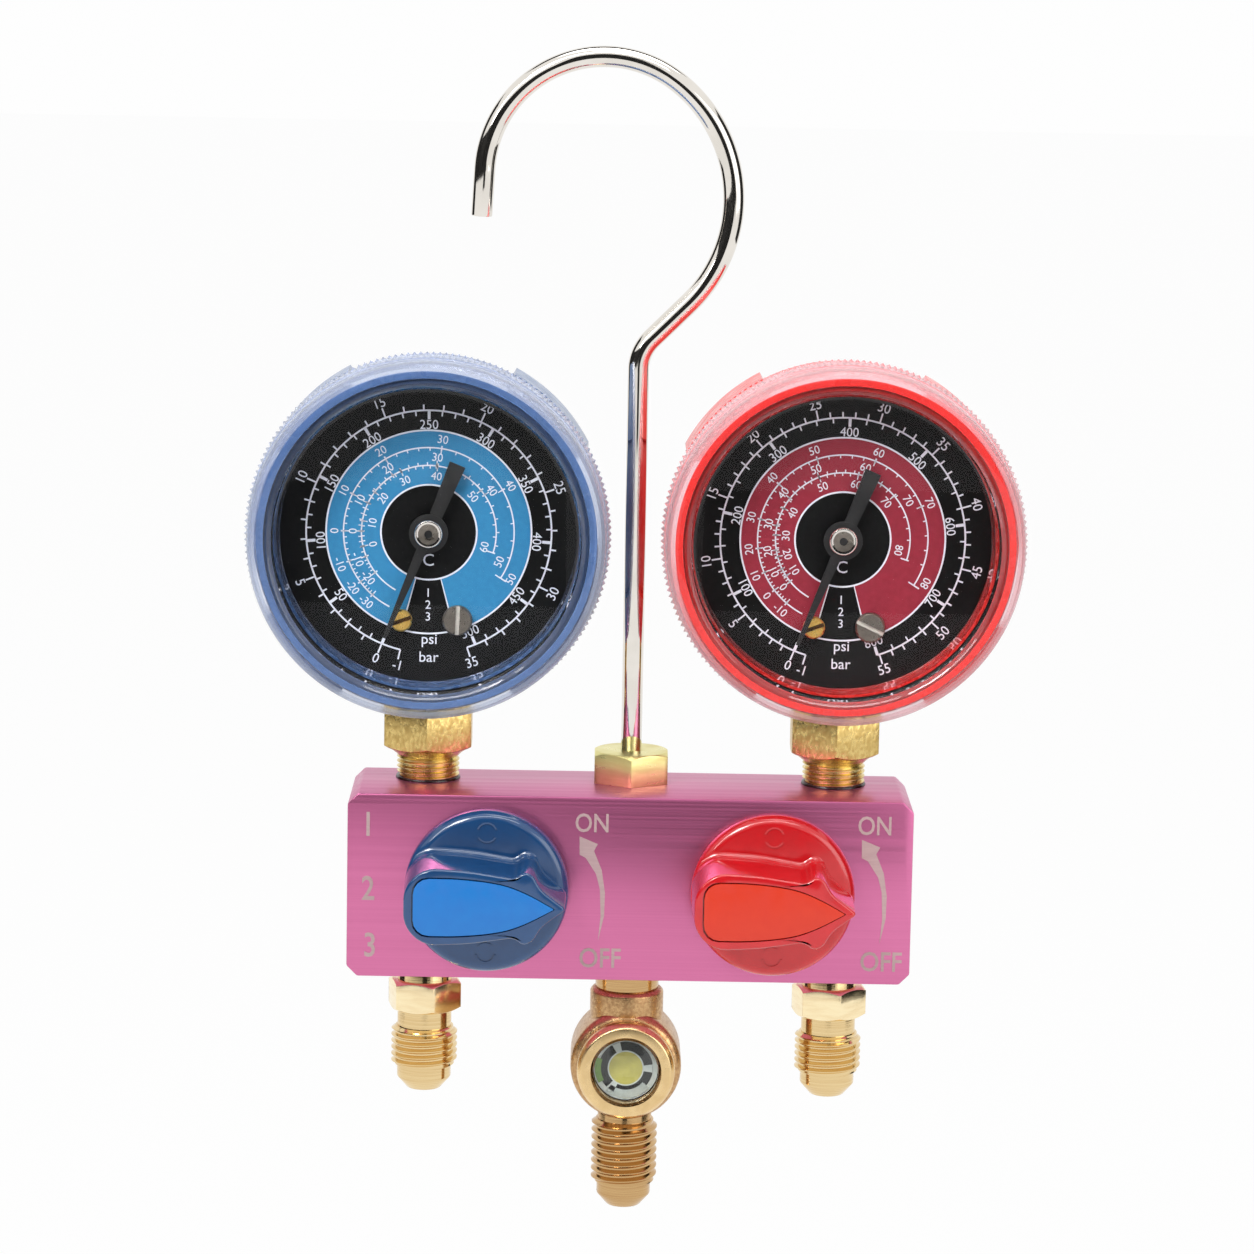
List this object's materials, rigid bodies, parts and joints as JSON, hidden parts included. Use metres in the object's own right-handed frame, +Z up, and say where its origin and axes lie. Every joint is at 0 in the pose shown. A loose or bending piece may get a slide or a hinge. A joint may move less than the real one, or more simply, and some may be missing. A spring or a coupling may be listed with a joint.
{
  "type": "refrigerant manifold gauge",
  "caption": "Refrigerant service manifold with low and high pressure gauges, hand valves, flare ports, a sight glass and a swivel hook.",
  "frame": {"origin": "inside top of the hook's crook, on the rod's surface in its mid-plane, where the hook bears on what it hangs from", "axes": "+Z up along the hook's stem, +X to the right seen from the dials, +Y from the dials to the back"},
  "size_m": [0.1468, 0.0458, 0.2231],
  "materials": {
    "anodised_block": "brushed and pink anodised",
    "brass": "machined",
    "bronze_tube": "drawn",
    "steel": "satin",
    "nickel": "nickel plated",
    "hook_chrome": "bright plated",
    "clear_lens": "clear moulded",
    "glass": "clear",
    "blue_case": "gloss",
    "red_case": "gloss",
    "blue_dial": "printed",
    "red_dial": "printed",
    "indicator": "printed",
    "pointer_black": "matt black",
    "rubber": "matt",
    "blue_knob": "satin moulded",
    "blue_insert": "satin moulded",
    "red_knob": "satin moulded",
    "red_insert": "satin moulded"
  },
  "bodies": {
    "manifold": {"manifold_block": "anodised_block", "gallery_plug": "steel", "low_port_fitting": "brass", "high_port_fitting": "brass", "sight_glass_body": "brass", "sight_glass_ring": "brass", "sight_glass_window": "glass", "sight_glass_seal": "rubber", "moisture_indicator": "indicator", "hook_nut": "brass", "low_gauge_case": "blue_case", "low_gauge_lens": "clear_lens", "low_lens_seal": "rubber", "low_dial": "blue_dial", "low_dial_screw": "brass", "low_bourdon_tube": "bronze_tube", "low_gauge_socket": "brass", "low_gauge_seal": "rubber", "low_movement_front_plate": "brass", "low_movement_back_plate": "brass", "low_hairspring": "bronze_tube", "low_valve_bonnet": "brass", "high_gauge_case": "red_case", "high_gauge_lens": "clear_lens", "high_lens_seal": "rubber", "high_dial": "red_dial", "high_dial_screw": "brass", "high_bourdon_tube": "bronze_tube", "high_gauge_socket": "brass", "high_gauge_seal": "rubber", "high_movement_front_plate": "brass", "high_movement_back_plate": "brass", "high_hairspring": "bronze_tube", "high_valve_bonnet": "brass"},
    "hook": {"hook": "hook_chrome"},
    "low_pointer": {"low_pointer": "pointer_black", "low_pointer_hub": "nickel", "low_arbor": "steel"},
    "low_sector": {"low_sector_gear": "brass"},
    "low_link": {"low_link": "brass"},
    "low_zero": {"low_zero_screw": "steel"},
    "low_piston": {"low_valve_piston": "brass", "low_piston_seals": "rubber"},
    "low_knob": {"low_knob": "blue_knob", "low_knob_insert": "blue_insert", "low_knob_screw": "steel", "low_valve_stem": "brass"},
    "high_pointer": {"high_pointer": "pointer_black", "high_pointer_hub": "nickel", "high_arbor": "steel"},
    "high_sector": {"high_sector_gear": "brass"},
    "high_link": {"high_link": "brass"},
    "high_zero": {"high_zero_screw": "steel"},
    "high_piston": {"high_valve_piston": "brass", "high_piston_seals": "rubber"},
    "high_knob": {"high_knob": "red_knob", "high_knob_insert": "red_insert", "high_knob_screw": "steel", "high_valve_stem": "brass"}
  },
  "joints": [
    {"name": "hook_swivel", "type": "hinge", "parent": "manifold", "child": "hook", "pos_m": [0.00718, 0, -0.13315], "axis": [0, 0, 1], "continuous": true},
    {"name": "low_pointer_turn", "type": "hinge", "parent": "manifold", "child": "low_pointer", "pos_m": [-0.03182, -0.012, -0.08715], "axis": [0, 1, 0], "range_deg": [-8, 320], "stiffness_Nm_per_rad": 0.001},
    {"name": "low_sector_swing", "type": "hinge", "parent": "manifold", "child": "low_sector", "pos_m": [-0.01659, -0.0057, -0.09269], "axis": [0, -1, 0], "range_deg": [-2, 42]},
    {"name": "low_link_turn", "type": "hinge", "parent": "low_sector", "child": "low_link", "pos_m": [-0.01189, -0.0048, -0.0944], "axis": [0, 1, 0], "range_deg": [-2, 42]},
    {"name": "low_zero_adjust", "type": "hinge", "parent": "manifold", "child": "low_zero", "pos_m": [-0.02617, -0.0105, -0.10393], "axis": [0, 1, 0], "range_deg": [-90, 90]},
    {"name": "low_piston_travel", "type": "slide", "parent": "manifold", "child": "low_piston", "axis": [0, -1, 0], "range_m": [0, 0.0019]},
    {"name": "low_knob_turn", "type": "hinge", "parent": "low_piston", "child": "low_knob", "pos_m": [-0.01982, -0.0245, -0.15375], "axis": [0, -1, 0], "range_deg": [0, 540]},
    {"name": "high_pointer_turn", "type": "hinge", "parent": "manifold", "child": "high_pointer", "pos_m": [0.04618, -0.012, -0.08715], "axis": [0, 1, 0], "range_deg": [-8, 320], "stiffness_Nm_per_rad": 0.001},
    {"name": "high_sector_swing", "type": "hinge", "parent": "manifold", "child": "high_sector", "pos_m": [0.06141, -0.0057, -0.09269], "axis": [0, -1, 0], "range_deg": [-2, 42]},
    {"name": "high_link_turn", "type": "hinge", "parent": "high_sector", "child": "high_link", "pos_m": [0.0661, -0.0048, -0.0944], "axis": [0, 1, 0], "range_deg": [-2, 42]},
    {"name": "high_zero_adjust", "type": "hinge", "parent": "manifold", "child": "high_zero", "pos_m": [0.05183, -0.0105, -0.10393], "axis": [0, 1, 0], "range_deg": [-90, 90]},
    {"name": "high_piston_travel", "type": "slide", "parent": "manifold", "child": "high_piston", "axis": [0, -1, 0], "range_m": [0, 0.0019]},
    {"name": "high_knob_turn", "type": "hinge", "parent": "high_piston", "child": "high_knob", "pos_m": [0.03418, -0.0245, -0.15375], "axis": [0, -1, 0], "range_deg": [0, 540]}
  ],
  "couplings": [
    {"joint": "low_sector_swing", "follows": "low_pointer_turn", "ratio": 0.125},
    {"joint": "low_link_turn", "follows": "low_pointer_turn", "ratio": 0.125},
    {"joint": "low_piston_travel", "follows": "low_knob_turn", "m_per_rad": 0.00019894},
    {"joint": "high_sector_swing", "follows": "high_pointer_turn", "ratio": 0.125},
    {"joint": "high_link_turn", "follows": "high_pointer_turn", "ratio": 0.125},
    {"joint": "high_piston_travel", "follows": "high_knob_turn", "m_per_rad": 0.00019894}
  ]
}
